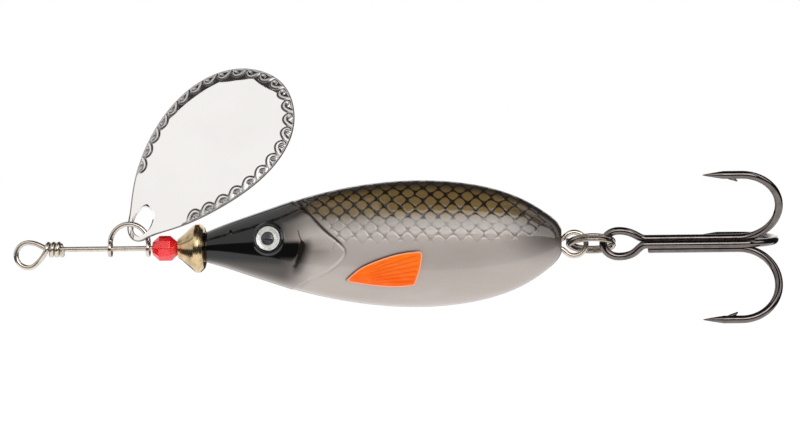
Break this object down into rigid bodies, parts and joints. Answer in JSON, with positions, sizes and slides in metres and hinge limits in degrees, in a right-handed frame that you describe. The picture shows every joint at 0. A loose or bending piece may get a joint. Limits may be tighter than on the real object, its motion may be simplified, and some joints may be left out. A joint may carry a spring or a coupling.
{
  "type": "inline spinner",
  "caption": "Inline spinner lure: swinging dished blade, bead and brass bearing ahead of a free-turning weighted fish body on a wire shaft, with a split ring and a treble hook.",
  "frame": {"origin": "on the shaft's axis, level with the centre of the line eye", "axes": "+X along the shaft from the line eye to the treble, +Z towards the fish's back, -Y towards the fish's left side"},
  "size_m": [0.098, 0.0156, 0.0332],
  "materials": {
    "stainless_wire": "bright drawn stainless wire",
    "plated_blade": "bright nickel plate, mirror polish",
    "red_bead": "translucent red, cut facets",
    "turned_brass": "pale turned brass, polished",
    "fish_paint": "pearl silver sides, olive-gold back with black scale edges, black head, orange fin, clear gloss coat",
    "eye_foil": "silver foil",
    "eye_pupil": "blue-black",
    "clear_resin": "clear domed resin",
    "ring_steel": "warm nickel-plated spring steel",
    "black_nickel": "black nickel plate over steel wire",
    "braze_metal": "black nickel over brazing metal"
  },
  "bodies": {
    "shaft": {"shaft_wire": "stainless_wire"},
    "cone": {"bearing_cone": "turned_brass"},
    "body": {"body_left_shell": "fish_paint", "body_right_shell": "fish_paint", "body_weight": "turned_brass", "nose_bush": "turned_brass", "tail_bush": "turned_brass", "left_eye_disc": "eye_foil", "left_eye_pupil": "eye_pupil", "left_eye_dome": "clear_resin", "right_eye_disc": "eye_foil", "right_eye_pupil": "eye_pupil", "right_eye_dome": "clear_resin"},
    "bead": {"bead": "red_bead"},
    "clevis": {"clevis": "stainless_wire"},
    "blade": {"blade": "plated_blade"},
    "ring": {"split_ring": "ring_steel"},
    "treble": {"treble_double_hook": "black_nickel", "treble_single_hook": "black_nickel", "treble_braze": "braze_metal"}
  },
  "joints": [
    {"name": "stack_slide", "type": "slide", "parent": "shaft", "child": "cone", "axis": [-1, 0, 0], "range_m": [0, 0.005]},
    {"name": "body_spin", "type": "hinge", "parent": "cone", "child": "body", "pos_m": [0.023, 0, 0], "axis": [1, 0, 0], "continuous": true},
    {"name": "bead_spin", "type": "hinge", "parent": "cone", "child": "bead", "pos_m": [0.0177, 0, 0], "axis": [1, 0, 0], "continuous": true},
    {"name": "clevis_spin", "type": "hinge", "parent": "cone", "child": "clevis", "pos_m": [0.01305, 0, 0], "axis": [1, 0, 0], "continuous": true},
    {"name": "blade_swing", "type": "hinge", "parent": "clevis", "child": "blade", "pos_m": [0.01305, 0, 0.00071], "axis": [0, -1, 0], "range_deg": [-4, 78]},
    {"name": "ring_swing", "type": "hinge", "parent": "shaft", "child": "ring", "pos_m": [0.06915, 0, 0], "axis": [0, -1, 0], "range_deg": [-60, 60]},
    {"name": "treble_swing", "type": "hinge", "parent": "ring", "child": "treble", "pos_m": [0.07495, 0, 0], "axis": [0, -1, 0], "range_deg": [-60, 60]}
  ]
}
